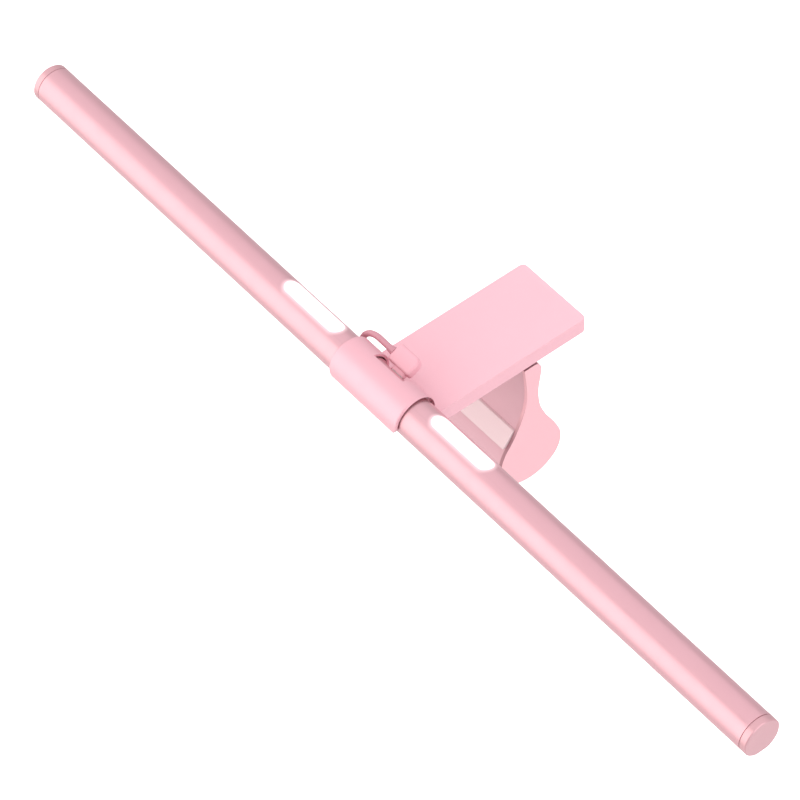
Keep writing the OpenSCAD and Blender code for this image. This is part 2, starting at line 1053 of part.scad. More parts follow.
module cable_hank() {
    edge = [for (x = [2 - run_half : 2 : run_half - 2]) [x, hank_half(x)]];
    end_loop = [for (a = [90 : -6 : -90]) [run_half + loop_half * cos(a), loop_half * sin(a)]];
    half_turn = concat(edge, end_loop);
    color(cable_pink)
        behind_tube()
            translate([0, 0, -hank_t / 2])
                linear_extrude(hank_t)
                    polygon(concat(half_turn, [for (p = half_turn) -p]));
}

module cable_tie() {
    inside = [tie_w, 2 * waist_half + 0.4, hank_t + 0.4];
    color("dimgray")
        behind_tube()
            difference() {
                cube(inside + [0, 2 * tie_t, 2 * tie_t], center = true);
                cube(inside + [1, 0, 0], center = true);
            }
}

module cable_tail() {
    color(cable_pink)
        on_axis()
            sweep(smooth(tail_route, 2), cable_d / 2, cable_sides, [0, 1, 0]);
}

module at_usb_a() {
    on_axis()
        translate([usb_a_x, usb_a_at[0], usb_a_at[1]])
            rotate([hank_tilt, 0, 0])
                children();
}

module usb_a_strain_relief() {
    color(cable_pink)
        at_usb_a()
            rotate([0, 90, 0])
                cylinder(d1 = relief_d + 1, d2 = cable_d + 0.3, h = usb_a_relief_len);
}

module usb_a_plug_body() {
    color(cable_pink)
        at_usb_a()
            block([-usb_a[0], -usb_a[1] / 2 - 1, -usb_a[2] / 2], [0, usb_a[1] / 2 + 1, usb_a[2] / 2]);
}

module usb_a_plug_shell() {
    wall = 0.4;
    inner = usb_a_shell - [0, 2 * wall, 2 * wall];
    color(steel)
        at_usb_a()
            translate([-usb_a[0] - usb_a_shell[0], 0, 0])
                difference() {
                    block([0, -usb_a_shell[1] / 2, -usb_a_shell[2] / 2],
                        [usb_a_shell[0], usb_a_shell[1] / 2, usb_a_shell[2] / 2]);
                    block([-1, -inner[1] / 2, -0.2], [usb_a_shell[0] - 1, inner[1] / 2, inner[2] / 2]);
                }
}

bracket_shell();
bracket_base_cover();
bracket_screws();
seat_pad();
lip_pad();
friction_ring_left();
friction_ring_right();
hinge_bracket();
hinge_bracket_screws();
torsion_spring_left();
torsion_spring_right();
hinge_pin();
arm_back_shell();
arm_front_panel();
arm_pad();
counterweight();
arm_screws();
tube_housing();
bottom_diffuser();
led_board();
led_chips();
end_cap_left();
end_cap_right();
back_window_left();
back_window_right();
back_led_board_left();
back_led_board_right();
back_led_chips();
socket_bezel();
usb_board();
usb_c_socket();
control_board();
control_parts();
radio_module();
wire_harness();
usb_c_plug_shell();
usb_c_plug_body();
usb_c_strain_relief();
usb_cable();
cable_hank();
cable_tie();
cable_tail();
usb_a_strain_relief();
usb_a_plug_body();
usb_a_plug_shell();
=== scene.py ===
import math

import bmesh
import bpy
from mathutils import Matrix, Vector


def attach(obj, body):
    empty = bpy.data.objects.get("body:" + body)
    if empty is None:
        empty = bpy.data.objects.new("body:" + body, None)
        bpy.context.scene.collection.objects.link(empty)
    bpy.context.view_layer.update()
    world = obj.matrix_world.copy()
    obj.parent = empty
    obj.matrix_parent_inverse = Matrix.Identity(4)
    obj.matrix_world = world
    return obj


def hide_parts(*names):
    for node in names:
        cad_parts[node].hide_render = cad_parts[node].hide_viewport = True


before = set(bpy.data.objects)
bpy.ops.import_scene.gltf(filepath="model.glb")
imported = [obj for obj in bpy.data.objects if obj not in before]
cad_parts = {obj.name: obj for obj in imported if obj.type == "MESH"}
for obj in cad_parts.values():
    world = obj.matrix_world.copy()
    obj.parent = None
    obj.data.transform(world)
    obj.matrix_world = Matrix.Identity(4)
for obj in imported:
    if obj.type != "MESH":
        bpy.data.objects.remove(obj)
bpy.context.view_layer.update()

# ---- Sizes, in metres; places and main sizes are the CAD model's ----
MM = 0.001
TUBE_AXIS = Vector((0, -48 * MM, 17 * MM))     # a point on the tube's axis
CABLE_D = 3.1 * MM
PLUG_ANGLE = math.radians(25)                  # up from the horizontal at the back
PLUG_X = 1 * MM
SEAT_FLAT = 8.75 * MM
NECK_START = SEAT_FLAT + 0.4 * MM
PLUG_LEFT = -7.6 * MM
PLUG_RIGHT = 6.8 * MM
PLUG_START = 11 * MM
PLUG_DEPTH = 9.4 * MM
PLUG_T = 5.2 * MM
PLUG_EDGE = 1.3 * MM
PLUG_CORNER = 1.4 * MM
PLUG_WIDE_CORNER = 4 * MM                      # the outer corner away from the cable
NECK_SIZE = (8.4 * MM, 3.2 * MM)
NECK_CORNER = 1.55 * MM
NECK_OVERLAP = 0.3 * MM                        # how far the neck runs into the grip
CABLE_OUT = 15.3 * MM
RELIEF_LEN = 4 * MM
RELIEF_D = 4.4 * MM
RELIEF_END_D = CABLE_D + 0.25 * MM
RELIEF_RIBS = 4
RIB_GROOVE = 0.12 * MM
HANK_TILT = math.radians(-63)
HANK_MID = -81 * MM
HANK_DEPTH = 26 * MM
RUN_HALF = 30 * MM
WAIST_LEN = 10 * MM
TIE_W = 8 * MM
TIE_PLAY = 0.5 * MM
TIE_TAPE = 0.9 * MM
TIE_CORNER = 1.6 * MM
USB_A_X = -152 * MM
USB_A_AT = (6.7 * MM, -17.6 * MM)
USB_A_LEN = 24 * MM
USB_A_W = 14 * MM
USB_A_T = 7 * MM
USB_A_EDGE = 1.2 * MM
USB_A_CORNER = 1.6 * MM
USB_A_RIDGE = 0.15 * MM
RIDGE_SPAN = (0.3, 0.7)                        # shares of the grip's length
USB_A_RELIEF_LEN = 8 * MM
USB_A_RELIEF_D = RELIEF_D + 1 * MM
TUBE_SHIFT = 1.8 * MM
WINDOW_LEN = 38.6 * MM
WINDOW_W = 8.4 * MM
WINDOW_MID = 32.8 * MM + WINDOW_LEN / 2
WINDOW_ANGLE = math.radians(76)                # up from the horizontal at the back

# Way points of the cable's two free ends, in millimetres from the tube's axis
CABLE_ROUTE = [
    (-11.6, 13.9, 6.5), (-14, 13.9, 6.5), (-17.5, 13.9, 6.6), (-21, 13.8, 6.4), (-24.6, 13.2, 5.2),
    (-27.2, 12.2, 2.6), (-28.4, 11.6, -1), (-29, 11.2, -5), (-30.6, 10.8, -8.2),
    (-34, 10.4, -9.8), (-39, 10.3, -10), (-46, 10.3, -10),
]
TAIL_ROUTE = [
    (-116, 2, -14.2), (-124, 2.2, -14.4), (-131, 4, -16), (-136, 6, -17.2), (-140, 6.7, -17.6),
    (-144, 6.7, -17.6),
]


# ---- Camera ----
CAMERA_PLACE = Vector((1.11549, -0.86808, 1.62882))
CAMERA_AZIMUTH = math.radians(53.36)
CAMERA_ELEVATION = math.radians(49.5)
CAMERA_ROLL = math.radians(-2.98)
CAMERA_LENS = 216.67
CAMERA_SENSOR = 36
CAMERA_REACH = 20


def add_camera():
    """A long lens at the photograph's viewing angle."""
    flat = math.cos(CAMERA_ELEVATION)
    forward = Vector((
        -math.sin(CAMERA_AZIMUTH) * flat,
        math.cos(CAMERA_AZIMUTH) * flat,
        -math.sin(CAMERA_ELEVATION),
    ))
    level = forward.cross(Vector((0, 0, 1))).normalized()
    upright = level.cross(forward)
    right = math.cos(CAMERA_ROLL) * level + math.sin(CAMERA_ROLL) * upright
    up = math.cos(CAMERA_ROLL) * upright - math.sin(CAMERA_ROLL) * level
    turn = Matrix((right, up, -forward)).transposed().to_4x4()
    data = bpy.data.cameras.new("camera")
    data.lens = CAMERA_LENS
    data.sensor_width = CAMERA_SENSOR
    data.clip_end = CAMERA_REACH
    camera = bpy.data.objects.new("camera", data)
    bpy.context.scene.collection.objects.link(camera)
    camera.matrix_world = Matrix.Translation(CAMERA_PLACE) @ turn
    bpy.context.scene.camera = camera


# ---- Studio ----
FLOOR_Z = -0.8
FLOOR_SIZE = 6
FLOOR_DARK = (0.62, 0.62, 0.62)
FLOOR_PALE = (0.66, 0.66, 0.66)
FLOOR_GLOW = 0.85
GLOW_FADE = (1.3, 3.5)                         # metres from under the lamp
FAR_FLOOR = (0.30, 0.30, 0.31)
ROOM_LIGHT = 0.75
CEILING_LIGHT = 0.44
FRONT_LIGHT = 1.32
SIDE_LIGHT = 1.45
FRONT_TINT = (1, 0.97, 0.90)


# ---- Colours ----
PLATE_PINK = (0.90, 0.505, 0.58)
# Painted shade: the sleeve's deeper pink stands in for the shade that falls on it
SLEEVE_SHADE_PINK = (0.80, 0.425, 0.495)
ARM_PINK = (0.90, 0.485, 0.54)
# Painted shade: the panel's pink is darker than the arm's, for the shade under the plate
SHADED_PANEL_PINK = (0.56, 0.32, 0.37)
# Painted shade on the arm's front rim and on its hinge end under the plate
RIM_SHADE_PINK = (0.33, 0.15, 0.18)
TUBE_PINK = (0.66, 0.37, 0.418)
CAP_PINK = (0.65, 0.365, 0.405)
CABLE_PINK = (0.60, 0.27, 0.33)
PLUG_PINK = (0.85, 0.42, 0.495)
SILICONE_PINK = (0.69, 0.53, 0.555)
LINER_PINK = (0.55, 0.33, 0.37)
MILKY_WHITE = (0.93, 0.92, 0.91)
LIT_WHITE = (1.0, 0.985, 0.975)
# Painted glow on the tube's coating round the back windows
PAINTED_SPILL_PINK = (1, 0.93, 0.94)
PHOSPHOR = (0.85, 0.72, 0.25)
WHITE_MASK = (0.85, 0.86, 0.84)
WHITE_TRACE = (0.70, 0.72, 0.66)
GREEN_MASK = (0.02, 0.16, 0.06)
GREEN_TRACE = (0.05, 0.26, 0.10)
PACKAGE_BLACK = (0.03, 0.03, 0.03)
WIRE_RED = (0.55, 0.03, 0.03)
TAPE_BLACK = (0.16, 0.13, 0.14)
STEEL = (0.62, 0.61, 0.59)
CAST_METAL = (0.36, 0.35, 0.34)


# ---- Where a look changes across a piece: a start and an end ----
# Where the sleeve's painted shade fades into the plate
SLEEVE_FADE = (-40 * MM, -26 * MM)             # Y where the sleeve passes into the plate
SLEEVE_SHADE_SHARE = 0.85                            # how much of its deeper pink the sleeve takes
# Painted shade on the arm's front rim, paler higher up, and on its hinge end in the gap under the plate
RIM_FADE = (-44 * MM, -30 * MM)                # Z over which the arm's dark rim grows paler
UPPER_RIM = 0.35                               # what is left of it above
HINGE_END = (-4 * MM, -2 * MM)                 # Z of the arm's hinge end
FRONT_FACING = (-0.6, -0.3)                    # Y of the direction a face looks in
TOP_FACING = (0.6, 0.9)                        # Z of that direction
SIDE_FACING = (0.6, 0.95)                      # X of that direction, either way
WINDOW_FADE = (-1.8 * MM, 0.5 * MM)            # distance outside a back window's rim
WINDOW_RIM_SHADE = 0.35
WINDOW_GLOW = 1.6
# Reach and strength of the glow painted round the back windows
SPILL_REACH = 2.4 * MM
SPILL_GLOW = 0.5


# ---- Frames ----

def on_axis(point):
    """A point given in millimetres from the tube's axis, in the model's frame."""
    return Vector(point) * MM + TUBE_AXIS


def plug_frame():
    """+Z points out of the socket and +X along the tube."""
    turn = Matrix.Rotation(PLUG_ANGLE - math.pi / 2, 4, "X")
    return Matrix.Translation(TUBE_AXIS + Vector((PLUG_X, 0, 0))) @ turn


def behind_tube_frame():
    """The hank's frame: +X along its runs, +Y its width and +Z its thickness."""
    turn = Matrix.Rotation(HANK_TILT, 4, "X")
    return Matrix.Translation(TUBE_AXIS) @ turn @ Matrix.Translation((HANK_MID, HANK_DEPTH, 0))


def usb_a_frame():
    """The USB-A plug's frame: it points along -X."""
    place = TUBE_AXIS + Vector((USB_A_X, USB_A_AT[0], USB_A_AT[1]))
    return Matrix.Translation(place) @ Matrix.Rotation(HANK_TILT, 4, "X")


# ---- Node helpers ----

def parts_of(material):
    """A material's nodes, links and shader."""
    nodes = material.node_tree.nodes
    return nodes, material.node_tree.links, nodes["Principled BSDF"]


def new_material(name):
    material = bpy.data.materials.new(name)
    material.use_nodes = True
    return material, *parts_of(material)


def noise(nodes, links, scale, detail=3.0, roughness=0.5, stretch=(1, 1, 1)):
    """Noise in the object's own coordinates; scale is in features per metre."""
    coordinates = nodes.new("ShaderNodeTexCoord")
    mapping = nodes.new("ShaderNodeMapping")
    mapping.inputs["Scale"].default_value = stretch
    links.new(coordinates.outputs["Object"], mapping.inputs["Vector"])
    texture = nodes.new("ShaderNodeTexNoise")
    texture.inputs["Scale"].default_value = scale
    texture.inputs["Detail"].default_value = detail
    texture.inputs["Roughness"].default_value = roughness
    links.new(mapping.outputs["Vector"], texture.inputs["Vector"])
    return texture.outputs["Fac"]


def ramp(nodes, links, source, low, high, start=0.3, end=0.7):
    """Maps a value onto low to high, between start and end."""
    mapped = nodes.new("ShaderNodeMapRange")
    mapped.inputs["From Min"].default_value = start
    mapped.inputs["From Max"].default_value = end
    mapped.inputs["To Min"].default_value = low
    mapped.inputs["To Max"].default_value = high
    links.new(source, mapped.inputs["Value"])
    return mapped.outputs["Result"]


def math_node(nodes, links, operation, first, second=None):
    """A Math node; first and second are numbers or sockets."""
    node = nodes.new("ShaderNodeMath")
    node.operation = operation
    for socket, value in zip(node.inputs, (first, second)):
        if isinstance(value, bpy.types.NodeSocket):
            links.new(value, socket)
        elif value is not None:
            socket.default_value = value
    return node.outputs["Value"]


def mix(nodes, links, factor, first, second):
    """A colour mix; first and second are colours or sockets."""
    node = nodes.new("ShaderNodeMix")
    node.data_type = "RGBA"
    links.new(factor, node.inputs["Factor"])
    for name, value in (("A", first), ("B", second)):
        socket = [i for i in node.inputs if i.name == name and i.type == "RGBA"][0]
        if isinstance(value, bpy.types.NodeSocket):
            links.new(value, socket)
        else:
            socket.default_value = (*value, 1)
    return [o for o in node.outputs if o.type == "RGBA"][0]


def edge_wear(nodes, links, low=0.52, high=0.62):
    """1 on convex edges and 0 on flats."""
    geometry = nodes.new("ShaderNodeNewGeometry")
    return ramp(nodes, links, geometry.outputs["Pointiness"], 0, 1, low, high)


def shade(colour, factor):
    return tuple(min(1.0, c * factor) for c in colour)


def add_bumps(nodes, links, shader, height, strength, distance):
    """Raises the surface by a texture, and returns the Bump node."""
    bumps = nodes.new("ShaderNodeBump")
    bumps.inputs["Strength"].default_value = strength
    bumps.inputs["Distance"].default_value = distance
    links.new(height, bumps.inputs["Height"])
    links.new(bumps.outputs["Normal"], shader.inputs["Normal"])
    return bumps


def moulded(name, colour, roughness, grain=2600, bump=0.05, edge=0.0, metallic=0.0,
            mottle=0.02):
    """Moulded or coated surface: soft colour drift, fine grain, uneven gloss, softened edges."""
    material, nodes, links, shader = new_material(name)
    drift = noise(nodes, links, scale=60, detail=4)
    specks = noise(nodes, links, scale=grain, detail=2, roughness=0.6)
    base = mix(nodes, links, ramp(nodes, links, drift, 0, 1),
               shade(colour, 1 - mottle), shade(colour, 1 + mottle))
    fine = mix(nodes, links, ramp(nodes, links, specks, 0, 0.5), base, shade(colour, 1 - 2 * mottle))
    worn = mix(nodes, links, edge_wear(nodes, links), fine, shade(colour, 1 + 3 * mottle))
    links.new(worn, shader.inputs["Base Color"])
    smudge = noise(nodes, links, scale=140, detail=5, roughness=0.65)
    links.new(ramp(nodes, links, smudge, roughness - 0.05, roughness + 0.07), shader.inputs["Roughness"])
    shader.inputs["Metallic"].default_value = metallic
    bumps = add_bumps(nodes, links, shader, specks, strength=bump, distance=0.05 * MM)
    if edge:
        bevel = nodes.new("ShaderNodeBevel")
        bevel.samples = 6
        bevel.inputs["Radius"].default_value = edge
        links.new(bevel.outputs["Normal"], bumps.inputs["Normal"])
    return material


def position(nodes, links):
    """The point's place in the model's frame, split into X, Y and Z outputs."""
    coordinates = nodes.new("ShaderNodeTexCoord")
    place = nodes.new("ShaderNodeSeparateXYZ")
    links.new(coordinates.outputs["Object"], place.inputs["Vector"])
    return place


def facing(nodes, links):
    """The face's own direction, split into X, Y and Z outputs."""
    geometry = nodes.new("ShaderNodeNewGeometry")
    to_object = nodes.new("ShaderNodeVectorTransform")
    to_object.vector_type = "NORMAL"
    to_object.convert_from = "WORLD"
    to_object.convert_to = "OBJECT"
    links.new(geometry.outputs["True Normal"], to_object.inputs["Vector"])
    normal = nodes.new("ShaderNodeSeparateXYZ")
    links.new(to_object.outputs["Vector"], normal.inputs["Vector"])
    return normal


def add_painted_sleeve_shade(material):
    """Paints shade on the sleeve: its pink is a little deeper than on the flat plate."""
    nodes, links, shader = parts_of(material)
    surface = shader.inputs["Base Color"].links[0].from_socket
    sleeve = ramp(nodes, links, position(nodes, links).outputs["Y"], 1, 0, *SLEEVE_FADE)
    share = math_node(nodes, links, "MULTIPLY", sleeve, SLEEVE_SHADE_SHARE)
    links.new(mix(nodes, links, share, surface, SLEEVE_SHADE_PINK), shader.inputs["Base Color"])


def add_matt_face(material):
    """The cap's rim is coated like the tube, and its flat face is plain plastic."""
    nodes, links, shader = parts_of(material)
    coating = shader.inputs["Metallic"].default_value
    sideways = math_node(nodes, links, "ABSOLUTE", facing(nodes, links).outputs["X"])
    links.new(ramp(nodes, links, sideways, coating, 0, *SIDE_FACING), shader.inputs["Metallic"])


def add_painted_rim_shade(material):
    """Paints shade on the arm's front rim and on its hinge end in the gap under the plate: both a darker
    pink than its sides.
    """
    nodes, links, shader = parts_of(material)
    surface = shader.inputs["Base Color"].links[0].from_socket
    normal = facing(nodes, links)
    place = position(nodes, links)
    front = ramp(nodes, links, normal.outputs["Y"], 1, 0, *FRONT_FACING)
    lower = ramp(nodes, links, place.outputs["Z"], 1, UPPER_RIM, *RIM_FADE)
    rim = math_node(nodes, links, "MULTIPLY", front, lower)
    upward = ramp(nodes, links, normal.outputs["Z"], 0, 1, *TOP_FACING)
    hinge_end = ramp(nodes, links, place.outputs["Z"], 0, 1, *HINGE_END)
    top = math_node(nodes, links, "MULTIPLY", upward, hinge_end)
    painted_shade = math_node(nodes, links, "MAXIMUM", rim, top)
    links.new(mix(nodes, links, painted_shade, surface, RIM_SHADE_PINK), shader.inputs["Base Color"])


def metal(name, colour, roughness, brushed=(1, 1, 1)):
    """Plated or drawn metal with fine lines and dull patches."""
    material, nodes, links, shader = new_material(name)
    lines = noise(nodes, links, scale=900, detail=3, roughness=0.6, stretch=brushed)
    dull = noise(nodes, links, scale=220, detail=4)
    base = mix(nodes, links, ramp(nodes, links, dull, 0, 1), shade(colour, 0.86), colour)
    links.new(base, shader.inputs["Base Color"])
    links.new(ramp(nodes, links, lines, roughness - 0.08, roughness + 0.1), shader.inputs["Roughness"])
    shader.inputs["Metallic"].default_value = 1
    add_bumps(nodes, links, shader, lines, strength=0.08, distance=0.04 * MM)
    return material


def window_distance(nodes, links):
    """Distance outside a back window's rim, in metres, and negative inside it."""
    place = position(nodes, links)

    def calc(operation, first, second=None):
        return math_node(nodes, links, operation, first, second)

    along = calc("ABSOLUTE", calc("SUBTRACT", place.outputs["X"], TUBE_SHIFT))
    past_end = calc("MAXIMUM", calc("SUBTRACT", calc("ABSOLUTE", calc("SUBTRACT", along, WINDOW_MID)),
                                    (WINDOW_LEN - WINDOW_W) / 2), 0.0)
    y = calc("SUBTRACT", place.outputs["Y"], TUBE_AXIS.y)
    z = calc("SUBTRACT", place.outputs["Z"], TUBE_AXIS.z)
    across = calc("SUBTRACT", calc("MULTIPLY", z, math.cos(WINDOW_ANGLE)),
                  calc("MULTIPLY", y, math.sin(WINDOW_ANGLE)))
    # A point on the tube's other side counts as a metre away
    outward = calc("ADD", calc("MULTIPLY", y, math.cos(WINDOW_ANGLE)),
                   calc("MULTIPLY", z, math.sin(WINDOW_ANGLE)))
    behind = calc("LESS_THAN", outward, 0.0)
    radius = calc("SQRT", calc("ADD", calc("MULTIPLY", past_end, past_end),
                               calc("MULTIPLY", across, across)))
    return calc("ADD", calc("SUBTRACT", radius, WINDOW_W / 2), behind)


def glowing(name, colour, strength):
    """A lit milky lens: bright, and softer towards its rim."""
    material, nodes, links, shader = new_material(name)
    cloud = noise(nodes, links, scale=90, detail=2)
    base = mix(nodes, links, ramp(nodes, links, cloud, 0, 1), shade(colour, 0.97), colour)
    links.new(base, shader.inputs["Base Color"])
    rim = ramp(nodes, links, window_distance(nodes, links), 0, 1, *WINDOW_FADE)
    lit = mix(nodes, links, rim, colour, shade(TUBE_PINK, WINDOW_RIM_SHADE))
    links.new(lit, shader.inputs["Emission Color"])
    shader.inputs["Emission Strength"].default_value = strength
    links.new(ramp(nodes, links, cloud, 0.3, 0.45), shader.inputs["Roughness"])
    return material


def add_painted_window_glow(material):
    """Painted glow: emission on the coating round the back windows, standing in for the light that leaks
    from them.
    """
    nodes, links, shader = parts_of(material)
    spill = ramp(nodes, links, window_distance(nodes, links), 1, 0, 0.0, SPILL_REACH)
    falloff = math_node(nodes, links, "POWER", spill, 2.0)
    links.new(mix(nodes, links, falloff, (0, 0, 0), PAINTED_SPILL_PINK), shader.inputs["Emission Color"])
    shader.inputs["Emission Strength"].default_value = SPILL_GLOW


def board(name, colour, trace):
    """Solder mask with faint copper tracks under it."""
    material, nodes, links, shader = new_material(name)
    tracks = noise(nodes, links, scale=420, detail=1, roughness=0.2, stretch=(1, 4, 1))
    base = mix(nodes, links, ramp(nodes, links, tracks, 0, 1, 0.52, 0.56), colour, trace)
    links.new(base, shader.inputs["Base Color"])
    links.new(ramp(nodes, links, tracks, 0.3, 0.45), shader.inputs["Roughness"])
    add_bumps(nodes, links, shader, tracks, strength=0.2, distance=0.03 * MM)
    return material


def woven(name, colour):
    """Hook-and-loop tape: crossing threads with a little fuzz."""
    material, nodes, links, shader = new_material(name)
    coordinates = nodes.new("ShaderNodeTexCoord")
    threads = []
    for direction in ("X", "Y"):
        wave = nodes.new("ShaderNodeTexWave")
        wave.bands_direction = direction
        wave.inputs["Scale"].default_value = 700
        wave.inputs["Distortion"].default_value = 0.6
        links.new(coordinates.outputs["Object"], wave.inputs["Vector"])
        threads.append(wave.outputs["Fac"])
    weave = math_node(nodes, links, "MULTIPLY", *threads)
    base = mix(nodes, links, weave, shade(colour, 0.7), shade(colour, 1.1))
    links.new(base, shader.inputs["Base Color"])
    shader.inputs["Roughness"].default_value = 0.9
    shader.inputs["Sheen Weight"].default_value = 0.3
    add_bumps(nodes, links, shader, weave, strength=0.5, distance=0.15 * MM)
    return material


# ---- Materials ----
MATERIALS = {
    "plate": moulded("plate_plastic", PLATE_PINK, 0.40, edge=0.35 * MM, metallic=0.35),
    "arm": moulded("arm_plastic", ARM_PINK, 0.45, edge=0.3 * MM),
    "panel": moulded("panel_plastic", SHADED_PANEL_PINK, 0.5, edge=0.2 * MM),
    "tube": moulded("tube_coating", TUBE_PINK, 0.34, grain=4200, bump=0.04, metallic=0.7),
    "cap": moulded("cap_coating", CAP_PINK, 0.36, grain=4200, edge=0.25 * MM, metallic=0.7),
    "cable": moulded("cable_sheath", CABLE_PINK, 0.42, grain=3000, bump=0.08),
    "plug": moulded("plug_plastic", PLUG_PINK, 0.38, edge=0.2 * MM),
    "silicone": moulded("silicone", SILICONE_PINK, 0.6, grain=1800, bump=0.12, edge=0.2 * MM),
    "liner": moulded("ring_rubber", LINER_PINK, 0.7, grain=1500, bump=0.15),
    "diffuser": moulded("milky_diffuser", MILKY_WHITE, 0.35, mottle=0.01),
    "window": glowing("lit_window", LIT_WHITE, WINDOW_GLOW),
    "led": moulded("led_phosphor", PHOSPHOR, 0.4, mottle=0.05),
    "white_board": board("white_board", WHITE_MASK, WHITE_TRACE),
    "green_board": board("green_board", GREEN_MASK, GREEN_TRACE),
    "component": moulded("component_body", PACKAGE_BLACK, 0.5),
    "wire": moulded("wire_sleeve", WIRE_RED, 0.4),
    "tie": woven("tie_fabric", TAPE_BLACK),
    "steel": metal("plated_steel", STEEL, 0.34, brushed=(1, 6, 6)),
    "weight": metal("cast_weight", CAST_METAL, 0.6),
}
add_painted_window_glow(MATERIALS["tube"])
add_painted_rim_shade(MATERIALS["arm"])
add_painted_sleeve_shade(MATERIALS["plate"])
add_matt_face(MATERIALS["cap"])

NODE_MATERIALS = {
    "plate": ["bracket_shell", "bracket_base_cover"],
    "arm": ["arm_back_shell"],
    "panel": ["arm_front_panel"],
    "silicone": ["seat_pad", "lip_pad", "arm_pad"],
    "liner": ["friction_ring_left", "friction_ring_right"],
    "steel": ["bracket_screws", "hinge_bracket", "hinge_bracket_screws", "torsion_spring_left",
              "torsion_spring_right", "hinge_pin", "arm_screws", "usb_c_socket",
              "usb_c_plug_shell", "usb_a_plug_shell"],
    "weight": ["counterweight"],
    "tube": ["tube_housing"],
    "diffuser": ["bottom_diffuser"],
    "white_board": ["led_board", "back_led_board_left", "back_led_board_right"],
    "led": ["led_chips", "back_led_chips"],
    "cap": ["end_cap_left", "end_cap_right", "socket_bezel"],
    "window": ["back_window_left", "back_window_right"],
    "green_board": ["usb_board", "control_board"],
    "component": ["control_parts", "radio_module"],
    "wire": ["wire_harness"],
}


def finish_nodes():
    """Gives each CAD node its material."""
    for key, names in NODE_MATERIALS.items():
        for name in names:
            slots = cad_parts[name].data.materials
            slots.clear()
            slots.append(MATERIALS[key])


# ---- Piece helpers ----

def place_mesh(mesh_builder, name, matrix, material, body, replaced=(), smooth_angle=35):
    """Turns a bmesh into an object at the given place, smooth except at sharp edges."""
    mesh_builder.transform(matrix)
    bmesh.ops.recalc_face_normals(mesh_builder, faces=mesh_builder.faces)
    mesh = bpy.data.meshes.new(name)
    mesh_builder.to_mesh(mesh)
    mesh_builder.free()
    mesh.materials.append(MATERIALS[material])
    mesh.shade_smooth()
    mesh.set_sharp_from_angle(angle=math.radians(smooth_angle))
    piece = bpy.data.objects.new(name, mesh)
    bpy.context.scene.collection.objects.link(piece)
    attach(piece, body)
    if replaced:
        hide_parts(*replaced)
    return piece


def loft(sections):
    """A closed bmesh through rings of points that all have the same count."""
    builder = bmesh.new()
    rings = [[builder.verts.new(p) for p in section] for section in sections]
    count = len(rings[0])
    for near, far in zip(rings, rings[1:]):
        for i in range(count):
            j = (i + 1) % count
            builder.faces.new((near[i], near[j], far[j], far[i]))
    builder.faces.new(rings[0])
    builder.faces.new(reversed(rings[-1]))
    return builder


def rounded_rectangle(w, h, radius, z, steps=8):
    """Points round a rectangle with round corners, centred on the Z axis."""
    points = []
    for cx, cy, start in ((1, 1, 0), (-1, 1, 90), (-1, -1, 180), (1, -1, 270)):
        for k in range(steps + 1):
            a = math.radians(start + 90 * k / steps)
            x = cx * (w / 2 - radius) + radius * math.cos(a)
            y = cy * (h / 2 - radius) + radius * math.sin(a)
            points.append(Vector((x, y, z)))
    return points


def circle_points(radius, z, steps=32):
    return [
        Vector((radius * math.cos(2 * math.pi * k / steps), radius * math.sin(2 * math.pi * k / steps), z))
        for k in range(steps)
    ]


def catmull_rom(points, steps):
    """A smooth line through the points."""
    out = []
    for i in range(len(points) - 1):
        a = points[max(i - 1, 0)]
        b = points[i]
        c = points[i + 1]
        d = points[min(i + 2, len(points) - 1)]
        for k in range(steps):
            t = k / steps
            out.append(0.5 * (2 * b + (c - a) * t + (2 * a - 5 * b + 4 * c - d) * t ** 2
                              + (3 * b - a - 3 * c + d) * t ** 3))
    out.append(points[-1])
    return out


# ---- Cable ----

def ease(t):
    """From 0 to 1 with a level start and end."""
    t = max(0.0, min(1.0, t))
    return (1 - math.cos(math.pi * t)) / 2


def lane(x, inner):
    """A run's distance from the hank's middle line: pinched by the tie, wide at the loops."""
    waist = (0.5 if inner else 1.5) * CABLE_D
    loop = (3 if inner else 4) * CABLE_D
    share = (abs(x) - WAIST_LEN / 2) / (RUN_HALF - WAIST_LEN / 2)
    return waist + (loop - waist) * ease(share)


def hank_path():
    """The folded length, in the hank's frame: seven loops and a last run, in four layers."""
    runs = [(False, 1.5), (True, 1.5), (True, 0.5), (False, 0.5),
            (False, -0.5), (True, -0.5), (True, -1.5), (False, -1.5)]
    run_steps = 12
    loop_steps = 14
    points = []
    for n, (inner, layer) in enumerate(runs):
        z = layer * CABLE_D
        for k in range(run_steps):
            x = RUN_HALF - 2 * RUN_HALF * k / run_steps
            points.append(Vector((x, -lane(x, inner), z)))
        if n == len(runs) - 1:
            points.append(Vector((-RUN_HALF, -lane(RUN_HALF, inner), z)))
            break
        radius = lane(RUN_HALF, inner)
        for k in range(loop_steps):
            a = math.pi * k / loop_steps
            points.append(Vector((-RUN_HALF - radius * math.sin(a), -radius * math.cos(a), z)))
        for k in range(run_steps):
            x = -RUN_HALF + 2 * RUN_HALF * k / run_steps
            points.append(Vector((x, lane(x, inner), z)))
        next_inner, next_layer = runs[n + 1]
        end_radius = lane(RUN_HALF, next_inner)
        for k in range(loop_steps):
            share = k / loop_steps
            a = math.pi * share
            r = radius + (end_radius - radius) * ease(share)
            height = (layer + (next_layer - layer) * ease(share)) * CABLE_D
            points.append(Vector((RUN_HALF + r * math.sin(a), r * math.cos(a), height)))
    return points


def cable_path():
    """The whole cable from the plug's strain relief, through the hank, to the USB-A plug."""
    way_in = catmull_rom([on_axis(p) for p in CABLE_ROUTE], steps=2)
    turn = behind_tube_frame()
    folded = [turn @ p for p in hank_path()]
    way_out = catmull_rom([on_axis(p) for p in TAIL_ROUTE], steps=2)
    return way_in + folded + way_out


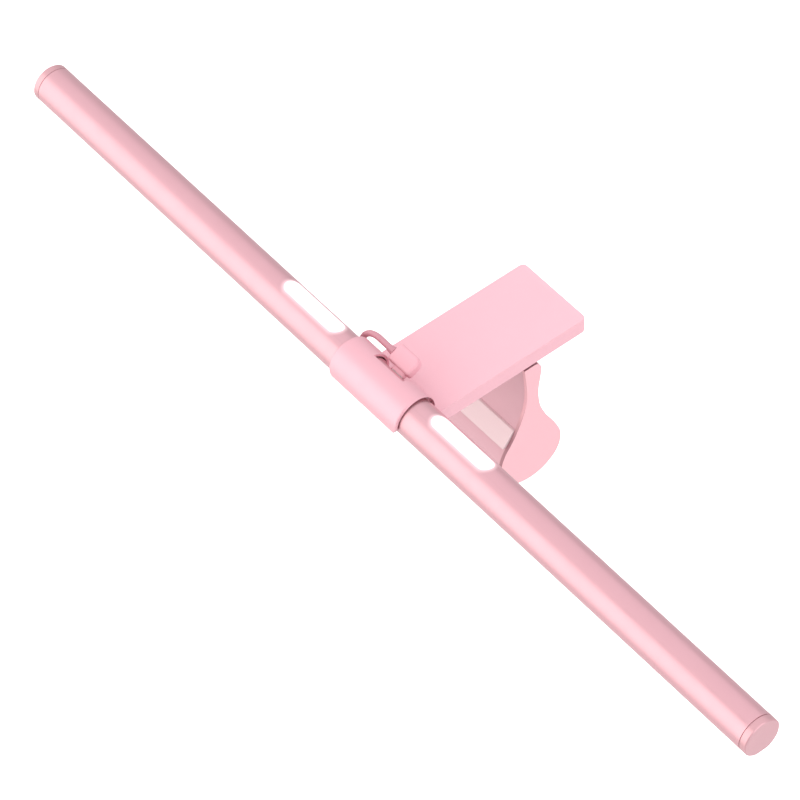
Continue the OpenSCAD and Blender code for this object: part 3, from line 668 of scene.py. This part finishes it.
def add_cable():
    """One curve of the cable's real length and thickness."""
    points = cable_path()
    data = bpy.data.curves.new("usb_cable_sheath", "CURVE")
    data.dimensions = "3D"
    data.bevel_depth = CABLE_D / 2
    data.bevel_resolution = 5
    data.use_fill_caps = True
    spline = data.splines.new("POLY")
    spline.points.add(len(points) - 1)
    for place, point in zip(spline.points, points):
        place.co = (*point, 1)
    data.materials.append(MATERIALS["cable"])
    cable = bpy.data.objects.new("usb_cable_sheath", data)
    bpy.context.scene.collection.objects.link(cable)
    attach(cable, "light_bar")
    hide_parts("usb_cable", "cable_hank", "cable_tail")


def add_usb_c_plug():
    """A right-angle plug body with soft edges, lofted through its thickness, and its neck."""
    left = PLUG_LEFT - PLUG_X
    right = PLUG_RIGHT - PLUG_X
    depth = PLUG_START + PLUG_DEPTH
    corner_steps = 8
    edge_steps = 6
    corners = [
        (left, PLUG_START, PLUG_CORNER, 180), (right, PLUG_START, PLUG_CORNER, 270),
        (right, depth, PLUG_WIDE_CORNER, 0), (left, depth, PLUG_CORNER, 90),
    ]

    def outline(inset, y):
        points = []
        for cx, cz, radius, start in corners:
            side = 1 if cx == right else -1
            up = 1 if cz == depth else -1
            for k in range(corner_steps + 1):
                a = math.radians(start + 90 * k / corner_steps)
                x = cx - side * radius + (radius - inset) * math.cos(a)
                z = cz - up * radius + (radius - inset) * math.sin(a)
                points.append(Vector((x, y, z)))
        return points

    half = PLUG_T / 2
    angles = [math.radians(90 * k / edge_steps) for k in range(edge_steps + 1)]
    steps = [(PLUG_EDGE * (1 - math.sin(a)), half - PLUG_EDGE * (1 - math.cos(a))) for a in angles]
    sections = [outline(inset, -y) for inset, y in steps]
    sections += [outline(inset, y) for inset, y in reversed(steps)]
    place_mesh(loft(sections), "usb_c_plug_grip", plug_frame(), "plug", "light_bar",
               ("usb_c_plug_body",))
    neck = loft([
        rounded_rectangle(*NECK_SIZE, NECK_CORNER, NECK_START),
        rounded_rectangle(*NECK_SIZE, NECK_CORNER, PLUG_START + NECK_OVERLAP),
    ])
    place_mesh(neck, "usb_c_plug_neck", plug_frame(), "plug", "light_bar")


def strain_relief(name, length, start_d, end_d, frame_matrix, replaced):
    """A tapered sleeve with shallow ribs, along +Z of its frame."""
    steps = RELIEF_RIBS * 6
    sections = []
    for k in range(steps + 1):
        t = k / steps
        radius = (start_d + (end_d - start_d) * t) / 2
        groove = RIB_GROOVE * (1 - math.cos(2 * math.pi * RELIEF_RIBS * t)) / 2
        sections.append(circle_points(radius - groove, length * t))
    return place_mesh(loft(sections), name, frame_matrix, "cable", "light_bar",
                      replaced, smooth_angle=50)


def add_strain_reliefs():
    """A sleeve at each end of the cable; gives back the one at the USB-A plug."""
    turn_left = Matrix.Rotation(-math.pi / 2, 4, "Y")
    out = plug_frame() @ Matrix.Translation((PLUG_LEFT - PLUG_X, 0, CABLE_OUT)) @ turn_left
    strain_relief("usb_c_relief_sleeve", RELIEF_LEN, RELIEF_D, RELIEF_END_D, out,
                  ("usb_c_strain_relief",))
    turn_right = Matrix.Rotation(math.pi / 2, 4, "Y")
    return strain_relief("usb_a_relief_sleeve", USB_A_RELIEF_LEN, USB_A_RELIEF_D, RELIEF_END_D,
                         usb_a_frame() @ turn_right, ("usb_a_strain_relief",))


def add_usb_a_plug():
    """A softly rounded grip with thumb ridges; the plug's metal shell is a CAD node."""
    turn = usb_a_frame() @ Matrix.Rotation(-math.pi / 2, 4, "Y")
    sections = []
    steps = 28
    for k in range(steps + 1):
        t = k / steps
        z = USB_A_LEN * t
        from_end = min(z, USB_A_LEN - z)
        in_edge = 1 - min(1.0, from_end / USB_A_EDGE)
        inset = USB_A_EDGE * (1 - math.sqrt(max(0.0, 1 - in_edge ** 2)))
        ridged = RIDGE_SPAN[0] < t < RIDGE_SPAN[1] and k % 2
        shrink = 2 * (inset + (USB_A_RIDGE if ridged else 0))
        # The frame's X is the plug's thickness once +Z points along the plug
        sections.append(rounded_rectangle(USB_A_T - shrink, USB_A_W - shrink,
                                          USB_A_CORNER - inset * 0.5, z))
    return place_mesh(loft(sections), "usb_a_plug_grip", turn, "plug", "light_bar",
                      ("usb_a_plug_body",))


def add_tie():
    """A band of hook-and-loop tape round the hank's waist."""
    # The waist is four cables wide and four thick
    side = 4 * CABLE_D + TIE_PLAY
    inner = rounded_rectangle(side, side, TIE_CORNER, 0)
    outer = rounded_rectangle(side + 2 * TIE_TAPE, side + 2 * TIE_TAPE, TIE_CORNER + TIE_TAPE, 0)
    builder = bmesh.new()
    rings = []
    for x in (-TIE_W / 2, TIE_W / 2):
        rings.append([builder.verts.new((x, p.x, p.y)) for p in inner])
        rings.append([builder.verts.new((x, p.x, p.y)) for p in outer])
    count = len(inner)
    for a, b in ((0, 1), (1, 3), (3, 2), (2, 0)):
        for i in range(count):
            j = (i + 1) % count
            builder.faces.new((rings[a][i], rings[a][j], rings[b][j], rings[b][i]))
    return place_mesh(builder, "tie_band", behind_tube_frame(), "tie", "light_bar",
                      ("cable_tie",))


# ---- Light and floor ----

def add_floor():
    """A plain white floor, well below the lamp, as it hangs from a monitor's top edge."""
    builder = bmesh.new()
    bmesh.ops.create_grid(builder, x_segments=1, y_segments=1, size=FLOOR_SIZE)
    mesh = bpy.data.meshes.new("floor")
    builder.to_mesh(mesh)
    builder.free()
    material, nodes, links, shader = new_material("floor_white")
    grain = noise(nodes, links, scale=5, detail=2)
    base = mix(nodes, links, grain, FLOOR_DARK, FLOOR_PALE)
    links.new(base, shader.inputs["Base Color"])
    shader.inputs["Roughness"].default_value = 0.9
    coordinates = nodes.new("ShaderNodeTexCoord")
    distance = nodes.new("ShaderNodeVectorMath")
    distance.operation = "LENGTH"
    links.new(coordinates.outputs["Object"], distance.inputs[0])
    fade = ramp(nodes, links, distance.outputs["Value"], 0, 1, *GLOW_FADE)
    links.new(mix(nodes, links, fade, (1, 1, 1), FAR_FLOOR), shader.inputs["Emission Color"])
    shader.inputs["Emission Strength"].default_value = FLOOR_GLOW
    mesh.materials.append(material)
    floor = bpy.data.objects.new("floor", mesh)
    floor.location = (0, 0, FLOOR_Z)
    bpy.context.scene.collection.objects.link(floor)
    # The floor's own glow whitens the floor and doesn't light the lamp from below
    receivers = bpy.data.collections.new("lit_by_floor")
    receivers.objects.link(floor)
    floor.light_linking.receiver_collection = receivers


def area_light(name, place, target, size, radiance, tint=(1, 1, 1)):
    """A rectangular soft light of the given brightness per area."""
    data = bpy.data.lights.new(name, "AREA")
    data.shape = "RECTANGLE"
    data.size = size[0]
    data.size_y = size[1]
    data.energy = radiance * math.pi * size[0] * size[1]
    data.color = tint
    light = bpy.data.objects.new(name, data)
    bpy.context.scene.collection.objects.link(light)
    direction = Vector(target) - Vector(place)
    light.location = place
    light.rotation_euler = direction.to_track_quat("-Z", "Y").to_euler()


def add_lights():
    """An even white studio: a high ceiling, a large front box, a side box and the room's light."""
    world = bpy.data.worlds.new("studio")
    world.use_nodes = True
    background = world.node_tree.nodes["Background"]
    background.inputs["Color"].default_value = (1, 1, 1, 1)
    background.inputs["Strength"].default_value = ROOM_LIGHT
    bpy.context.scene.world = world
    area_light("ceiling", place=(0, 1.7, 1.9), target=(0, 1.7, 0), size=(5, 5),
               radiance=CEILING_LIGHT)
    area_light("front_box", place=(-0.75, -1.4, 0.35), target=(-0.1, -0.05, 0.1), size=(3.6, 2.7),
               radiance=FRONT_LIGHT, tint=FRONT_TINT)
    area_light("side_box", place=(1.7, 0.2, 0.35), target=(0.1, 0, 0), size=(1.6, 1.2),
               radiance=SIDE_LIGHT)


add_camera()
finish_nodes()
add_usb_c_plug()
far_relief = add_strain_reliefs()
usb_a_grip = add_usb_a_plug()
tie_band = add_tie()
add_cable()
add_floor()
add_lights()
bpy.context.scene.view_settings.view_transform = "Standard"
